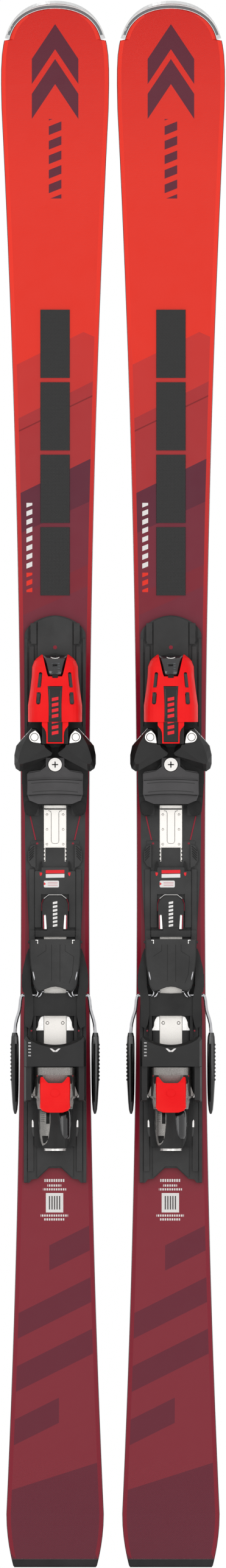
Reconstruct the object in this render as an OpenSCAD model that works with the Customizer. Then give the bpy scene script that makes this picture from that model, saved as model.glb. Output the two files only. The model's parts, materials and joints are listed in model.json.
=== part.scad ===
// Pair of alpine slalom skis with release bindings, hanging upright side by side in a rack.
// Each piece is drawn lying in ski coordinates: x across the ski, y from the tail to the tip and
// z up from the base. place() then stands it up, so that the tips point to +Z and the tops to -Y.

/* [Ski] */
// Length of the ski from tail to tip
ski_length = 1616; // [1600:1:1640]
// Full width at the widest point of the shovel
shovel_w = 111.5; // [108:0.5:116]
// Full width at the waist
waist_w = 70.5; // [68:0.5:72]
// Full width at the widest point of the tail
tail_w = 100.5; // [98:0.5:104]
// Height of the flat top under the binding, above the snow
platform_z = 19; // [18:0.5:20]
// Height of the unloaded base above the snow at the middle
camber = 5; // [3:0.5:6]
// Rise of the tip
tip_rise = 44; // [35:1:50]
// Rise of the tail
tail_rise = 6; // [2:1:8]
// Distance between the two skis' centre lines
ski_spacing = 119.4; // [118:0.2:130]
// Height of the rack's rest above the tails
rack_height = 1380; // [1300:10:1400]

/* [Binding] */
// Height of the boot sole above the snow
sole_z = 48; // [47:0.5:49]
// Half width of the rail plates
rail_half = 31.5; // [31:0.1:32]
// Place of the wing pins along the ski
wing_y = 856.4; // [856:0.2:857]
// Distance of each wing pin from the centre line
wing_x = 21.3; // [21:0.1:21.6]
// Place of the jaw pin along the ski
jaw_y = 487; // [486:0.5:488]
// Place of the brake's axle along the ski
brake_y = 590; // [589:0.5:591]

/* [Fit] */
// Radial clearance of a pin that turns in its bore
running_fit = 0.05; // [0.02:0.01:0.08]
// Gap between a sliding unit and its rail
slide_gap = 0.3; // [0.3:0.1:0.5]

/* [Hidden] */
PIECES = ["base_sheet", "steel_edges", "core", "top_sheet", "tip_guard", "tail_guard", "dampers",
          "binding_rails", "rail_screws", "steel_band", "lock_lever",
          "toe_base", "toe_cover", "toe_pins", "toe_spring", "wing_left", "wing_right",
          "toe_screw", "afd_plate", "afd_screw",
          "heel_base", "heel_spring", "heel_pins", "heel_housing", "heel_jaw", "heel_lever",
          "heel_screw", "brake_wires", "brake_paddles", "brake_pedal"];
SKIS = [["left", -1], ["right", 1]];
$fn = 32;

tiny = 0.02;                        // keeps two pieces in one body apart by a hair
waist_y = 710;                      // place of the narrowest point
shovel_y = 1515;                    // where the sidecut meets the tip's curve
tip_y = 1530;                       // where the tip's outline starts
tail_y = 55;                        // where the tail's rounding starts
tail_cut = 15;                      // full width lost by the tail's rounding
guard_y = 1576;                     // where the tip guard's arms end
nose_y = 1608;                      // front end of the top sheet, inside the tip guard
tail_guard_l = 8.4;                 // length of the tail guard
contact_front = 1500;               // the unloaded base touches the snow here
contact_rear = 90;                  // and here
contact_t = 6.5;                    // thickness at the contact points
tip_t = 4.2;                        // thickness at the tip and the tail
platform_front = 1000;              // the flat top reaches from here
platform_rear = 380;                // back to here
edge_w = 2.2;                       // steel edge's width
edge_h = 2;                         // steel edge's height
base_t = 1.4;                       // base sheet's thickness
sheet_t = 1;                        // top sheet's thickness
bevel_w = 4;                        // width of the bevel beside the top
bevel_h = 3;                        // and its drop

rail_z = 27;                        // top of the rail plates
flange_z = 23;                      // underside of the rails' flange
flange_in = 28.5;                   // half width below the flange
band_half = 11.5;                   // half width of the steel band
unit_z = rail_z + slide_gap;        // underside of the sliding units
hook_x = rail_half + slide_gap;     // inner face of the units' side hooks
pin_r = 3.5;                        // wing pin's radius
jaw_z = 45;                         // height of the jaw pin
jaw_pin_r = 3;                      // its radius
lever_y = 494;                      // place of the lever's pin
lever_z = 82;                       // and its height
lever_pin_r = 1.6;                  // and its radius
brake_z = 33;                       // height of the brake's axle
wire_r = 1.75;                      // brake wire's radius
pedal_y = 645;                      // place of the pedal's pins
pedal_z = 43.5;                     // and their height
pedal_pin_r = 1.4;                  // and their radius
lock_y = 653.5;                     // place of the lock lever's axle
lock_z = 30;                        // and its height
lock_pin_r = 1.5;                   // and its radius
screw_z = 39.5;                     // height of the heel's spring tube
collar_r = 11.3;                    // radius of the heel screw's collar
toe_screw_z = 46;                   // height of the toe's spring tube

// ---- outline and thickness of the ski ----

function smooth(u) = u * u * (3 - 2 * u);
function clamp(u) = min(1, max(0, u));
function mix(a, b, u) = a + (b - a) * u;

// Half width of the ski at y: a sidecut of two parabolas, a rounded tail and a blunt tip.
function sidecut(y, widest, at) =
    waist_w / 2 + (widest - waist_w) / 2 * pow((y - waist_y) / (at - waist_y), 2);
function tip_half(y) =
    shovel_w / 2 * pow(max(0, 1 - pow((y - tip_y) / (ski_length - tip_y), 3.2)), 1 / 2.2);
function tail_half(y) = tail_w / 2 - tail_cut / 2 * pow((tail_y - y) / tail_y, 2);
function half_w(y) =
    y > tip_y ? tip_half(y) :
    y > shovel_y ? shovel_w / 2 :
    y > waist_y ? sidecut(y, shovel_w, shovel_y) :
    y > tail_y ? sidecut(y, tail_w, tail_y) : tail_half(y);

// Half width of the laminate's top, which ends inside the tip guard.
nose_start = 1560;
function nose_half(y) = 48.5 * pow(max(0, 1 - pow((y - nose_start) / (nose_y - nose_start), 2.6)), 1 / 2.2);
function inner_w(y) = y >= guard_y ? min(half_w(y) - 0.5, nose_half(y)) : half_w(y);

// Height of the base above the snow.
span_mid = (contact_front + contact_rear) / 2;
span_half = (contact_front - contact_rear) / 2;
function base_z(y) =
    y > contact_front ? tip_rise * pow((y - contact_front) / (ski_length - contact_front), 2.2) :
    y < contact_rear ? tail_rise * pow((contact_rear - y) / contact_rear, 2) :
    camber * (1 - pow((y - span_mid) / span_half, 4));

// Height of the top surface above the snow.
function top_z(y) =
    y > contact_front ?
        base_z(y) + mix(contact_t, tip_t, (y - contact_front) / (ski_length - contact_front)) :
    y > platform_front
        ? mix(platform_z, contact_t, smooth((y - platform_front) / (contact_front - platform_front))) :
    y > platform_rear ? platform_z :
    y > contact_rear
        ? mix(contact_t, platform_z, smooth((y - contact_rear) / (platform_rear - contact_rear))) :
    base_z(y) + mix(tip_t, contact_t, y / contact_rear);

// Stations along the laminate, close together where the outline bends.
tail_stations = [tail_guard_l, 14, 22, 32, 43];
side_stations = [for (y = [tail_y:25:tip_y]) y];
front_stations = [1545, 1560, 1570, guard_y - 1];
nose_stations = [for (a = [5:6:89]) guard_y + (nose_y - guard_y) * sin(a)];
STATIONS = concat(tail_stations, side_stations, front_stations, [guard_y], nose_stations);

// ---- solids from stations ----

// A closed solid through equal rings of points, with flat ends.
module loft(rings) {
    n = len(rings[0]);
    last = len(rings) - 1;
    points = [for (ring = rings, p = ring) p];
    sides = [for (i = [0:last - 1], j = [0:n - 1]) let (k = (j + 1) % n)
        each [[i * n + j, i * n + k, (i + 1) * n + k], [i * n + j, (i + 1) * n + k, (i + 1) * n + j]]];
    polyhedron(points, concat(sides, cap(n, 0, true), cap(n, last * n, false)));
}

// An end face as strips between the two halves of its ring, so that a hollow ring closes too.
function cap(n, first, start) = [for (j = [0:ceil(n / 2) - 2], half = [0, 1])
    let (a = j, b = j + 1, c = n - 2 - j, d = n - 1 - j, t = half == 0 ? [a, b, c] : [a, c, d])
    if (t[1] != t[2]) [for (v = start ? [t[2], t[1], t[0]] : t) first + v]];

// Rings in planes of constant y, from a function's [x, z] outline; mirrored ones turn the other way.
function at_y(y, outline) = [for (p = outline) [p[0], y, p[1]]];
function both_sides(right) = concat(right, [for (i = [len(right) - 1:-1:0]) [-right[i][0], right[i][1]]]);

// A tube along a path in the plane z = 0 or in space, as rings across the path's direction.
function unit(v) = v / norm(v);
function along(path, i) = unit(path[min(i + 1, len(path) - 1)] - path[max(i - 1, 0)]);
module tube(path, r, sides = 10, up = [0, 0, 1]) {
    loft([for (i = [0:len(path) - 1])
        let (t = along(path, i), u = unit(cross(up, t)), v = cross(t, u))
        [for (j = [0:sides - 1]) let (a = -360 * j / sides) path[i] + r * (cos(a) * u + sin(a) * v)]]);
}

// A block with rounded corners between two heights.
module slab(x0, x1, y0, y1, z0, z1, r = 1) {
    translate([x0, y0, z0]) linear_extrude(z1 - z0) round_rect(x1 - x0, y1 - y0, r);
}

module round_rect(w, l, r) {
    translate([r, 0]) square([w - 2 * r, l]);
    translate([0, r]) square([w, l - 2 * r]);
    for (x = [r, w - r], y = [r, l - r]) translate([x, y]) circle(r);
}

// An outline with both sides alike, from its right half, between two heights.
module plate(right, z0, z1) {
    translate([0, 0, z0]) linear_extrude(z1 - z0) polygon(both_sides(right));
}

module both() {
    children();
    mirror([1, 0, 0]) children();
}

// A cylinder along x or along y, centred on its length for x and starting at y0 for y.
module rod_x(y, z, r, half) {
    translate([-half, y, z]) rotate([0, 90, 0]) cylinder(r = r, h = 2 * half);
}

module rod_y(x, z, r, y0, y1) {
    translate([x, y0, z]) rotate([-90, 0, 0]) cylinder(r = r, h = y1 - y0);
}

// A compression spring along y at height z.
module coil_spring(z, y0, y1, mean_r, wire, turns) {
    steps = 12 * turns;
    tube([for (i = [0:steps]) let (a = 360 * i / 12)
        [mean_r * cos(a), mix(y0, y1, i / steps), z + mean_r * sin(a)]], wire, 6, [0, 1, 0]);
}

// ---- the ski ----

module base_sheet() {
    color("dimgray")
    loft([for (y = STATIONS) let (w = inner_w(y) - edge_w * clamp(inner_w(y) / 10), z = base_z(y))
        at_y(y, [[-w, z], [w, z], [w, z + base_t], [-w, z + base_t]])]);
}

module steel_edges() {
    rings = [for (y = STATIONS) let (w = inner_w(y), i = w - edge_w * clamp(w / 10), z = base_z(y))
        at_y(y, [[i + tiny, z], [w, z], [w, z + edge_h], [i + tiny, z + edge_h]])];
    color("silver") both() loft(rings);
}

// Drop of the bevel, less where the ski is thin.
function drop(y) = min(bevel_h, (top_z(y) - base_z(y) - edge_h) * 0.6);
function inset(y, d) = inner_w(y) - d * clamp(inner_w(y) / 12);

module core() {
    color("tan") loft([for (y = STATIONS)
        let (z = base_z(y), t = top_z(y), w = inner_w(y), d = drop(y))
        at_y(y, both_sides([[inset(y, edge_w), z + base_t + tiny], [inset(y, edge_w), z + edge_h + tiny],
            [w, z + edge_h + 3 * tiny], [inset(y, 0.6), t - d - 3 * tiny], [inset(y, 1.9), t - d - tiny],
            [inset(y, bevel_w + 1.1), t - sheet_t - tiny]]))]);
}

module top_sheet() {
    color("red") loft([for (y = STATIONS) let (t = top_z(y), d = drop(y))
        at_y(y, concat(
            [[inset(y, 0.6), t - d], [inset(y, bevel_w + 0.6), t]],
            [[-inset(y, bevel_w + 0.6), t], [-inset(y, 0.6), t - d]],
            [[-inset(y, 1.8), t - d], [-inset(y, bevel_w + 1), t - sheet_t]],
            [[inset(y, bevel_w + 1), t - sheet_t], [inset(y, 1.8), t - d]]))]);
}

// The guard's band runs round the tip as one strip from side to side.
guard_steps = 14;
function guard_out(a) = let (y = tip_y + (ski_length - tip_y) * mix(0.55, 1, sin(a))) [half_w(y), y];
guard_gap = 0.3;
function guard_in(a) =
    let (y = guard_y + (nose_y - guard_y) * sin(a)) [nose_half(y) + guard_gap, y + guard_gap];
function guard_ring(a, s) =
    let (o = guard_out(a), i = guard_in(a), zo = base_z(o[1]), zi = base_z(i[1]), t = top_z(o[1]))
    [[s * i[0], i[1], zi], [s * o[0], o[1], zo + 0.6], [s * o[0], o[1], t - 0.4],
     [s * mix(i[0], o[0], 0.6), mix(i[1], o[1], 0.6), t + 0.3], [s * i[0], i[1], top_z(i[1])]];

module tip_guard() {
    angles = [for (k = [0:guard_steps]) 90 * pow(k / guard_steps, 0.8)];
    right = [for (a = angles) guard_ring(a, 1)];
    left = [for (k = [guard_steps - 1:-1:0]) guard_ring(angles[k], -1)];
    color("lightgray") loft(concat(right, left));
}

module tail_guard() {
    color("black") loft([for (y = [0, 1.5, 5, tail_guard_l - tiny])
        let (w = half_w(y), z = base_z(y), t = top_z(y) + 0.3, r = y == 0 ? 0.8 : 0)
        at_y(y, [[-w + r, z], [w - r, z], [w - r, t - 1 - r], [w - 1.5, t - r], [-w + 1.5, t - r],
                 [-w + r, t - 1 - r]])]);
}

damper_w = 30.2;
damper_l = 70.3;
damper_pitch = 74.8;
damper_y = 1002.6;
damper_t = 1.3;

module dampers() {
    color("dimgray") for (k = [0:3]) let (y0 = damper_y + k * damper_pitch)
        loft([for (i = [0:3]) let (y = y0 + damper_l * i / 3, z = top_z(y) + tiny, w = damper_w / 2)
            at_y(y, [[-w, z], [w, z], [w, z + damper_t - 0.4], [w - 0.4, z + damper_t],
                     [-w + 0.4, z + damper_t], [-w, z + damper_t - 0.4]])]);
}

// ---- rails, band and lock lever ----

front_arc = [for (a = [0:10:90]) [rail_half * pow(cos(a), 1.15), 962 + 20 * pow(sin(a), 1.15)]];
function shrink(points, d) = [for (p = points) [max(0.5, p[0] - d), p[1] - d * (p[1] > 962 ? 0.7 : 0)]];

module front_rail() {
    outline = concat([[rail_half, 790]], front_arc);
    plate(shrink(outline, rail_half - flange_in), platform_z, flange_z);
    plate(outline, flange_z, 25);
    plate(concat([[18.7, 790]], shrink([for (p = front_arc) if (p[0] < 20) p], 1.2)), 25, rail_z);
    both() {
        slab(19.2, 25.5, 952, 974, 25, rail_z - 0.2, 0.8);
        slab(flange_in, rail_half, 790, 958, 25, rail_z, 0.5);
        slab(21.5, 26.5, 790, 950, 25, rail_z - 0.6, 0.5);
    }
}

// Housing of the lock lever, between the toe and the heel.
lock_half = [[31.2, 789.5], [31, 750], [30.3, 718], [27, 660], [27, 652.5]];
slot_in = 13.9;

module lock_housing() {
    difference() {
        union() {
            plate(concat(lock_half, [[25, 601]]), platform_z, 26);
            plate([[25, 749], [23, 735], [21, 722], [21, 650], [18, 646]], 26, rail_z);
            both() {
                translate([0, 0, 26]) linear_extrude(4)
                    polygon([[20.2, 745.7], [25, 744], [27.6, 738], [27.6, 729], [24.5, 723.5],
                             [20.2, 721.5]]);
                slab(21.4, 26.6, 650, 720, 26, 28.5, 0.8);
                slab(slot_in + 0.4, 20.8, 660, 718, 26, 30, 0.8);
                slab(slot_in + 7, 26.4, 647.5, 657, 26, 32, 1);
            }
            slab(-slot_in - 0.4, slot_in + 0.4, 694.2, 722, 26, 30, 1);
        }
        translate([-band_half - 0.2, 600, 24.5]) cube([2 * band_half + 0.4, 191, 1.3]);
        translate([-band_half - 0.2, 742.4, 24.5]) cube([2 * band_half + 0.4, 50, 8]);
        translate([-band_half - 0.2, 600, 24.5]) cube([2 * band_half + 0.4, 51.6, 8]);
        both() translate([10, 728, 24.5]) cube([band_half - 9.8, 15, 8]);
        rod_x(lock_y, lock_z, lock_pin_r + running_fit, 30);
        both() translate([0, 0, platform_z - 1]) linear_extrude(9)
            polygon([[25, 775], [26.4, 775], [20.6, 750], [19.2, 750]]);
    }
}

rear_half = [[rail_half, 600], [rail_half, 582], [32.2, 566], [32.2, 396.6], [26.5, 396.6], [24, 400],
             [18, 400.8], [6.4, 411.7], [0.5, 411.7]];

module rear_rail() {
    difference() {
        union() {
            plate([[flange_in, 600], [flange_in, 396.6], [26.5, 396.6], [24, 400], [18, 400.8],
                   [6.4, 411.7], [0.5, 411.7]],
                platform_z, flange_z);
            plate(rear_half, flange_z, 25);
            plate([[18.5, 600], [18.5, 402.5], [17.8, 402.3], [6, 413.4], [0.5, 413.4]], 25, rail_z);
            both() {
                slab(22.3, 28, 408.4, 560, 25, rail_z - 0.4, 0.5);
                slab(29, 32.2, 397, 560, 25, rail_z, 0.5);
            }
        }
        translate([-band_half - 0.2, 536, 24.5]) cube([2 * band_half + 0.4, 65, 5]);
    }
}

module binding_rails() {
    color([0.22, 0.22, 0.22]) {
        front_rail();
        lock_housing();
        rear_rail();
    }
}

rail_screw_y = [810, 905, 620, 440, 520];

module rail_screws() {
    color("silver") both() for (y = rail_screw_y) {
        translate([14, y, platform_z - 9]) cylinder(r = 2.3, h = 12);
        translate([14, y, platform_z + 2]) cylinder(r = 4, h = 2);
    }
}

module steel_band() {
    z0 = 24.6;
    t = 0.9;
    color("silver") {
        difference() {
            slab(-band_half, band_half, 537, 785.9, z0, z0 + t, 0.6);
            both() for (y = [701:4:741])
                translate([band_half, y, z0 - 1]) cylinder(r = 0.9, h = 3);
        }
        slab(-4, 4, 743, 783, z0 + t, z0 + t + 0.6, 1.5);
        both() for (y = [776.4, 761.1, 746])
            translate([8.3, y, z0 + t - tiny]) cylinder(r1 = 1.3, r2 = 0.7, h = 0.6);
        both() translate([7.9, 561.5, z0 + t - tiny]) cylinder(r1 = 1.8, r2 = 1.1, h = 0.8);
    }
}

module lock_lever() {
    color([0.2, 0.2, 0.2]) difference() {
        union() {
            plate([[13.4, 660], [13.4, 684], [11.6, 688.5], [6.6, 692.8], [0.5, 692.8]], 30, 34.5);
            plate([[12.9, 660], [12.9, 683.6], [11, 688], [6.3, 691.8], [0.5, 691.8]], 34.5, 35.3);
            translate([-slot_in - 6.5, lock_y - 3.2, lock_z]) cube([2 * slot_in + 13, 6.6, 4.6]);
            rod_x(lock_y, lock_z, 2.9, slot_in + 6.5);
            slab(-8.2, 8.2, 655, 662, 29, 34.5, 0.5);
            rod_x(lock_y, lock_z, lock_pin_r, 25);
        }
        both() slab(8.6, 12.4, 657.2, 671.5, 29, 34, 1);
    }
}

// ---- toe unit ----

module toe_base() {
    color([0.16, 0.16, 0.16]) difference() {
        union() {
            plate([[9, 774.9], [14, 786.5], [18.5, 782], [21.5, 774.9], [28, 775.5], [31.5, 779],
                   [32.6, 788], [34.2, 812], [34.2, 822], [31, 838], [29, 866], [24, 872], [24, 925],
                   [19, 938], [0.5, 943]],
                unit_z, 33);
            plate([[15.8, 787.2], [29, 787.2], [29, 775.8], [31.6, 779.5], [32.6, 788], [32.2, 795]],
                   33, 34.5);
            both() {
                slab(hook_x, 34.2, 808, 824, 20.6, unit_z + 1, 0.5);
                slab(29, 34.2, 808, 824, 20.6, 22.6, 0.5);
                slab(17, 22, 775.5, 785, 33, 37, 1);
                translate([wing_x, wing_y, 33]) cylinder(r = 7.4, h = 16.4);
                slab(9, 13.5, 849.4, 868, 33, 66, 1);
            }
            slab(-13.5, 13.5, 846, 872, 33, 44, 1);
            slab(-15, 15, 872, 925, 33, 58, 2);
            slab(-12, 12, 866, 915, 50, 62, 2);
        }
        rod_y(0, toe_screw_z, 10.2, 874, 922);
        rod_y(0, toe_screw_z, 5 + running_fit, 900, 960);
        translate([0, 828, unit_z - 1]) cylinder(r = 3.2 + running_fit, h = 12);
        slab(-12.1, 12.1, 770, 786.6, unit_z - 1, 40, 0.5);
        both() translate([wing_x, wing_y, 30]) cylinder(r = pin_r, h = 22);
    }
}

// Cover's half width, its highest line and its lower edge at each place along the ski.
cover = [[941.5, 14, 50, 33.5], [938, 18.6, 55, 33.3], [935, 21.3, 58, 33.2], [929, 23.6, 62, 33.2],
         [919, 24, 66, 33.2], [905, 25.6, 70, 33.4], [889, 27.9, 73.5, 34.5], [872, 27.9, 76, 40]];
// The tongue runs back between the two wing pins.
cover_tongue = [[13.6, 872.2], [13.6, 868.4], [12.4, 866.6], [10.6, 864.6], [9.3, 861.5], [8.9, 857],
                [8.9, 849.8], [0.5, 849.8]];
cover_wall = 2;
cover_steps = 8;
function cover_arc(w, top, low, d) = [for (k = [0:cover_steps]) let (a = 90 * k / cover_steps)
    [(w - d) * pow(cos(a), 0.45), low + (top - d - low) * pow(sin(a), 0.62)]];
function cover_ring(c) =
    let (outer = cover_arc(c[1], c[2], c[3], 0), inner = cover_arc(c[1], c[2], c[3], cover_wall),
         over = concat(outer, [for (k = [cover_steps - 1:-1:0]) [-outer[k][0], outer[k][1]]]),
         under = concat([for (k = [0:cover_steps]) [-inner[k][0], inner[k][1]]],
                         [for (k = [cover_steps - 1:-1:0]) inner[k]]))
    at_y(c[0], [for (k = [len(over) + len(under) - 1:-1:0]) k < len(over) ? over[k] : under[k - len(over)]]);

module slot(x0, y0, x1, y1, r) {
    translate([0, 0, 40]) linear_extrude(50) hull() {
        translate([x0, y0]) circle(r);
        translate([x1, y1]) circle(r);
    }
}

module toe_cover() {
    color("red") {
        difference() {
            loft([for (c = cover) cover_ring(c)]);
            translate([0, 0, 30]) linear_extrude(60)
                polygon(both_sides([[7.2, 919], [8.4, 922], [13.2, 943]]));
            both() {
                slot(15, 921.5, 16.2, 909.5, 1.8);
                slot(16.8, 900.5, 17.4, 892.3, 2.2);
                translate([0, 0, 30]) linear_extrude(60)
                    polygon([[28.5, 872.2], [12.9, 871], [12.9, 870], [28.5, 871.5]]);
            }
        }
        difference() {
            plate(cover_tongue, 68, 74);
            slab(-7.6, 7.6, 851, 875, 70.6, 80, 0.5);
        }
    }
}

module toe_pins() {
    color("silver") both() {
        translate([wing_x, wing_y, 34]) cylinder(r = pin_r, h = 34.6);
        difference() {
            translate([0, 0, 66.4]) linear_extrude(1.8) hull() {
                translate([wing_x, wing_y]) circle(5.4);
                translate([20.6, 862.4]) circle(0.6);
                translate([15.6, 851]) circle(0.8);
            }
            translate([wing_x, wing_y, 60]) cylinder(r = pin_r + tiny, h = 20);
        }
    }
}

module toe_spring() {
    color("silver") coil_spring(toe_screw_z, 875, 899, 7.8, 1.4, 5);
}

wing_low = [[24, 866], [31.5, 856.6], [36, 852.4], [40, 847.4], [42, 838], [42, 828.7], [40.6, 824],
            [36.4, 821], [33.5, 821.6], [20, 829], [4, 837.6], [3, 840], [4, 845.6], [9.3, 847.4],
            [14.7, 850], [15.4, 858], [19, 865]];
wing_top = [[24, 865], [28, 858], [33, 849], [36.5, 839], [38, 832], [36.5, 828.5], [33, 829],
            [27, 834.5], [10, 845.4], [14.2, 849], [15.6, 858], [19.4, 864]];

module wing() {
    difference() {
        hull() {
            translate([0, 0, 52]) linear_extrude(5) polygon(wing_low);
            translate([0, 0, 57]) linear_extrude(7) polygon(wing_top);
        }
        translate([wing_x, wing_y, 40]) cylinder(r = pin_r + running_fit, h = 40);
        slab(30, 50, 858, 880, 40, 80, 1);
        slab(-2, 14.4, 848.6, 880, 40, 80, 0.5);
    }
}

module wing_right() { color([0.14, 0.14, 0.14]) wing(); }
module wing_left() { color([0.14, 0.14, 0.14]) mirror([1, 0, 0]) wing(); }

module toe_screw() {
    color("silver") difference() {
        union() {
            rod_y(0, toe_screw_z, 5, 902, 940);
            rod_y(0, toe_screw_z, 8.6, 900.5, 902);
        }
        translate([-0.7, 938, toe_screw_z - 6]) cube([1.4, 3, 12]);
    }
}

module afd_plate() {
    pad = [[28.8, 797], [28.4, 812], [22, 812.9], [12, 813.6], [0.5, 813.8]];
    low = [[17.5, 787.4], [26.4, 791], [28.3, 796], [28.9, 818], [27, 820.5], [14, 822.5], [9.5, 826],
           [9.5, 835], [0.5, 835]];
    color([0.3, 0.3, 0.3]) difference() {
        union() {
            plate(low, 37, 46);
            plate(pad, 46, sole_z);
            plate([[12, 787.4], [17.5, 787.4], [17.5, 800], [12, 800]], 37, 44);
        }
        translate([0, 828, 36]) cylinder(r = 7.6, h = 8.5);
        translate([0, 828, 30]) cylinder(r = 7.6, h = 30);
    }
}

module afd_screw() {
    color("silver") {
        difference() {
            union() {
                translate([0, 828, 28]) cylinder(r = 3.2, h = 17);
                translate([0, 828, 44]) cylinder(r = 6.9, h = 3);
            }
            for (a = [0, 90]) translate([0, 828, 46]) rotate([0, 0, a])
                translate([-3.4, -0.7, 0]) cube([6.8, 1.4, 3]);
        }
    }
}

// ---- heel unit ----

// Rear housing over the spring: an arched section, tapered towards the rear.
dome_top = 52.8;
dome_low = 28;
dome_half = 17.8;
dome_arc = [for (k = [0:8]) let (a = 11 * k)
    [dome_half * pow(cos(a), 0.6), dome_low + (dome_top - dome_low) * pow(sin(a), 0.7)]];
dome_plan = [[17.8, 474], [17.6, 462], [16.8, 450], [15.2, 440], [12.6, 433.4], [10.4, 432], [0.5, 431.8]];

module dome() {
    intersection() {
        translate([0, 474, 0]) rotate([90, 0, 0]) linear_extrude(43) polygon(both_sides(dome_arc));
        plate(dome_plan, dome_low, dome_top + 1);
    }
}

module heel_base() {
    side = [[25.6, 637], [27.2, 638.6], [29.7, 631.7], [33.4, 616.7], [34.2, 604.6], [33.6, 594],
            [31.7, 592], [31.2, 575], [31.2, 558.5], [26, 555.5], [24, 560], [22.5, 568.6], [22.5, 586],
            [24.8, 600]];
    color([0.17, 0.17, 0.17]) difference() {
        union() {
            both() {
                translate([0, 0, unit_z]) linear_extrude(12) polygon(side);
                slab(hook_x, 34.2, 598, 612, 20.6, unit_z + 1, 0.5);
                slab(29, 34.2, 598, 612, 20.6, 22.6, 0.5);
                slab(19.5, 22.5, 480, 569, unit_z, 36, 0.5);
                slab(18, 22.8, 478, 496, unit_z, jaw_z + 5, 0.8);
            }
            plate([[23, 568.8], [23, 588], [18, 591.6], [12, 592.4], [0.5, 592]], unit_z, 37);
            plate([[21, 434], [22.8, 470], [22.8, 500], [0.5, 500]], unit_z, 32);
            slab(-15, 15, 434, 500, unit_z, 40, 1);
            rod_y(0, screw_z, 12.2, 434, 500);
            dome();
        }
        rod_y(0, screw_z, 10.2, 444, 497);
        rod_y(0, screw_z, 9 + running_fit, 430, 450);
        rod_y(0, screw_z, collar_r + slide_gap, 430, 433.9);
        rod_x(jaw_y, jaw_z, jaw_pin_r, 24);
        rod_x(brake_y, brake_z, wire_r + running_fit + 0.05, 36);
    }
}

module heel_spring() {
    color("silver") coil_spring(screw_z, 455, 494, 7.8, 1.4, 7);
}

module heel_pins() {
    color("silver") both() {
        translate([18.2, jaw_y, jaw_z]) rotate([0, 90, 0]) cylinder(r = jaw_pin_r, h = 12);
    }
}

// Rocker's half width, highest line and lower edge along the ski.
rocker = [[515.5, 20.4, 78, 62], [508, 20.4, 77, 60], [497, 22, 74.5, 54], [489, 23.6, 73, 50],
          [486, 23.6, 72.4, 52], [483.5, 19.8, 72, 55], [472.6, 17.8, 69, 57]];

// Small ears beside the rocker, where the lever's sides end.
rocker_ear = [[15, 498.5], [19.6, 498.5], [21.6, 493], [23.6, 487.8], [22.8, 486], [20.2, 486],
              [18.4, 482.4], [17.5, 475], [15, 475]];
// The rocker carries the lever on a pin through a lug on its top.
lug_half = 5;
lever_pin_half = 8;

module heel_housing() {
    color("gray") {
        loft([for (c = rocker) cover_ring(c)]);
        both() translate([0, 0, 60]) linear_extrude(8) polygon(rocker_ear);
        slab(-lug_half, lug_half, lever_y - 2.8, lever_y + 2.8, 72.6, lever_z, 0.5);
        rod_x(lever_y, lever_z, 3, lug_half);
        rod_x(lever_y, lever_z, lever_pin_r, lever_pin_half);
    }
}

// The jaw's front lip is hollowed to the round back of a boot.
lip_r = 47.5;
lip_slope = 3.5;
lip_centre = 539.4 + lip_r;

module heel_jaw() {
    color([0.15, 0.15, 0.15]) {
        difference() {
            union() {
                hull() {
                    plate([[31.9, 516.5], [31.9, 544.7], [29.2, 548.3], [23.7, 547.7], [0.5, 539.6]],
                           73, 76);
                    plate([[29.5, 516.5], [29.5, 542], [26, 545], [0.5, 536]], 79, 80.5);
                }
                difference() {
                    plate([[31.9, 516.5], [31.9, 542], [27, 543], [12, 536], [0.5, 534.5]], 50, 74);
                    plate([[27, 516], [27, 539], [12, 532.5], [0.5, 531]], 49, 75);
                }
                both() {
                    hull() {
                        slab(24.4, 31.9, 480, 517, 40, 70, 1);
                        slab(24.4, 30, 482, 517, 70, 74, 1);
                    }
                    slab(24.4, 31.9, 516, 536, 46, 74, 1);
                }
            }
            rod_x(jaw_y, jaw_z, jaw_pin_r + running_fit, 40);
            translate([0, lip_centre, 72]) cylinder(r1 = lip_r, r2 = lip_r + lip_slope, h = 10);
        }
    }
}

// Lever's half width, upper and lower height along the ski.
lever = [[505.8, 14.6, 83.4, 80], [504.5, 15.2, 84, 79.6], [500, 15.7, 87, 78.4], [494, 15.8, 88, 79.2],
         [487.6, 15.6, 89.5, 82], [480, 15.4, 93, 86], [474, 15.8, 96.5, 90.6], [471, 13.4, 98, 93],
         [469, 8, 98.4, 94.4]];

module heel_lever() {
    slot_half = lug_half + slide_gap;
    color("red") difference() {
        loft([for (c = lever) at_y(c[0], both_sides([[c[1] * 0.9, c[3]], [c[1], c[3] + 1.4],
            [c[1] * 0.94, c[2] - 1.2], [c[1] * 0.7, c[2] - 0.2], [c[1] * 0.3, c[2]]]))]);
        translate([0, 0, 60]) linear_extrude(50) polygon(both_sides([[6.8, 499.4], [9, 501], [13.6, 507]]));
        translate([-slot_half, lever_y - 5.5, 70]) cube([2 * slot_half, 9, lever_z + 3.4 - 70]);
        rod_x(lever_y, lever_z, lever_pin_r + running_fit, lever_pin_half + 0.2);
    }
}

module heel_screw() {
    color("silver") difference() {
        union() {
            rod_y(0, screw_z, 9, 433.6, 452);
            rod_y(0, screw_z, collar_r, 429.6, 433.6);
        }
        translate([-0.8, 428, screw_z - 9]) cube([1.6, 3, 18]);
    }
}

// ---- brake ----

wire_path = [[31, brake_y], [33, brake_y], [34.8, 588.4], [35.6, 584.5], [36, 580], [36.6, 575],
             [37.9, 570.4], [39.3, 566], [40.6, 560.5], [41.3, 553], [41.6, 546], [41.6, 520]];

module brake_wires() {
    color("silver") both() {
        translate([17, brake_y, brake_z]) rotate([0, 90, 0]) cylinder(r = wire_r, h = 15);
        tube([for (p = wire_path) [p[0], p[1], brake_z]], wire_r, 10);
    }
}

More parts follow.
